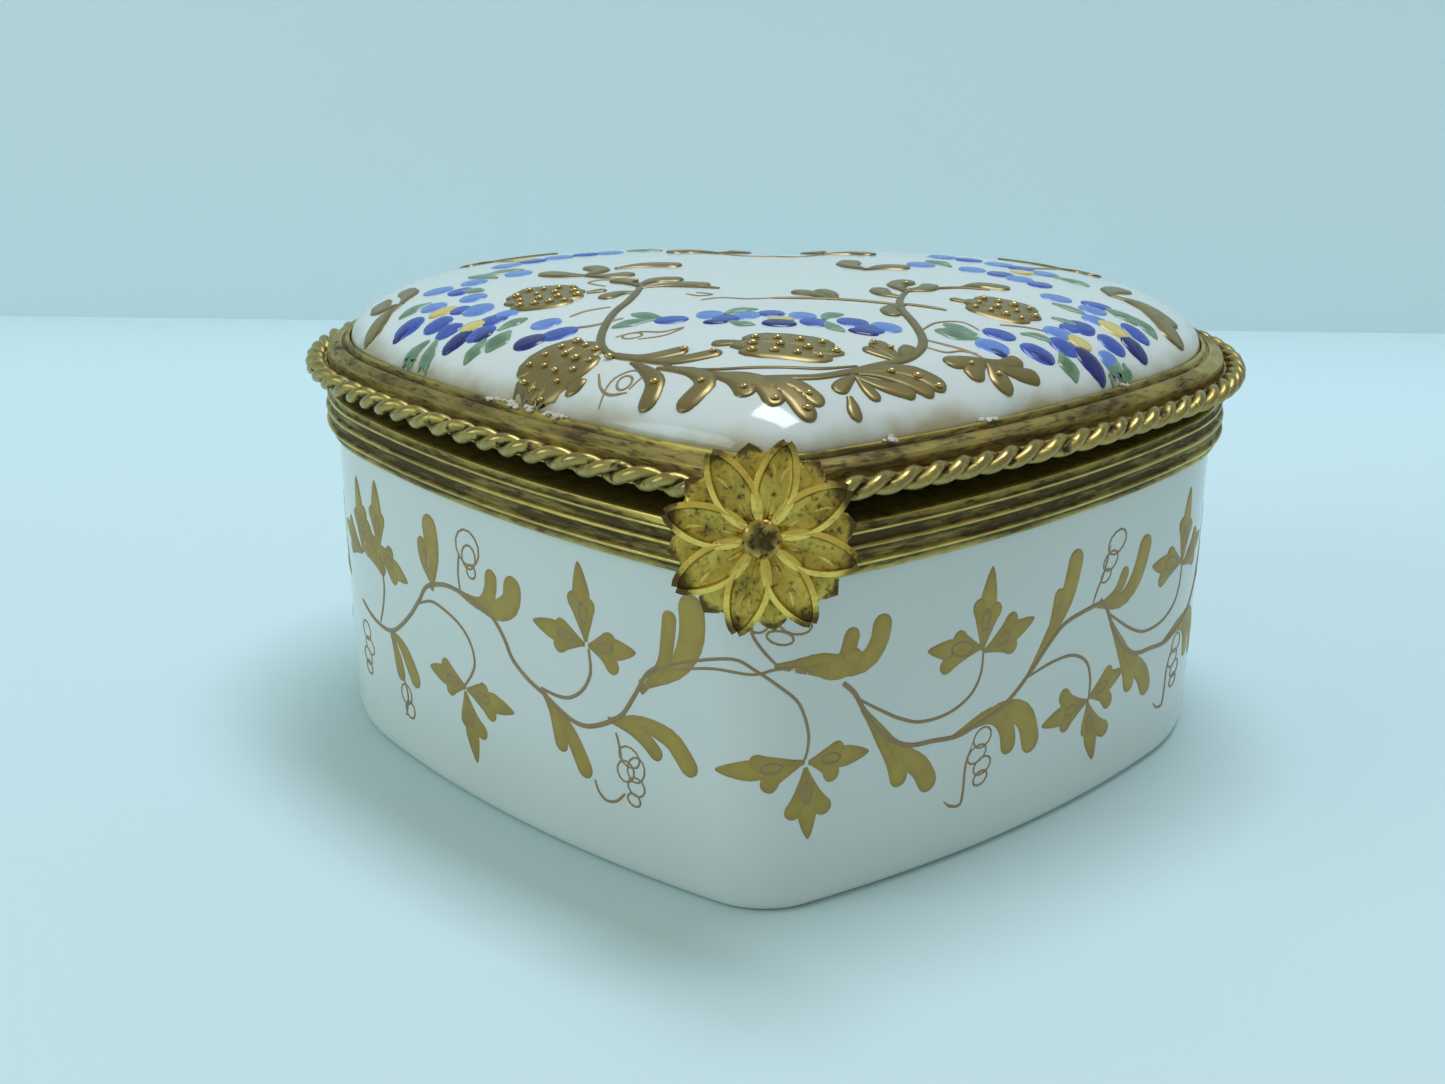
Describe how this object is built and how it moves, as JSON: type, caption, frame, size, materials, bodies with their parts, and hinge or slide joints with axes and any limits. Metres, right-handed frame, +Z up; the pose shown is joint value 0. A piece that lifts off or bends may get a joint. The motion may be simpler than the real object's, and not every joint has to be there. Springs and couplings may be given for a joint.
{
  "type": "porcelain trinket box",
  "caption": "Heart-shaped porcelain trinket box with a hinged domed lid, ribbed and rope-twist brass rims and a flower clasp.",
  "frame": {"origin": "middle of the flat foot, on the surface the box stands on", "axes": "+Z up, -Y towards the point of the heart and the clasp, +Y towards the hinge, X across the lobes"},
  "size_m": [0.064, 0.0594, 0.0317],
  "materials": {
    "porcelain": "white glazed porcelain, hand painted in gold and blue enamel",
    "plaster": "matt off-white plaster",
    "aged_brass": "gilt brass, tarnished in the grooves and worn bright on the crests",
    "bright_brass": "yellower stamped brass with tarnish in its pits"
  },
  "bodies": {
    "base": {"porcelain_base": "porcelain", "base_cement": "plaster", "base_collar": "aged_brass", "catch_nub": "aged_brass", "hinge_leaf_base": "aged_brass", "hinge_knuckle_base_right": "aged_brass", "hinge_knuckle_base_left": "aged_brass", "hinge_pin": "aged_brass"},
    "lid": {"lid_dome": "porcelain", "lid_cement": "plaster", "lid_bezel": "aged_brass", "rope_border": "aged_brass", "clasp_tongue": "aged_brass", "clasp_flower": "bright_brass", "clasp_boss": "bright_brass", "hinge_leaf_lid": "aged_brass", "hinge_knuckle_lid": "aged_brass"}
  },
  "joints": [
    {"name": "lid_hinge", "type": "hinge", "parent": "base", "child": "lid", "pos_m": [0, 0.0275, 0.0236], "axis": [-1, 0, 0], "range_deg": [-1.5, 98]}
  ]
}
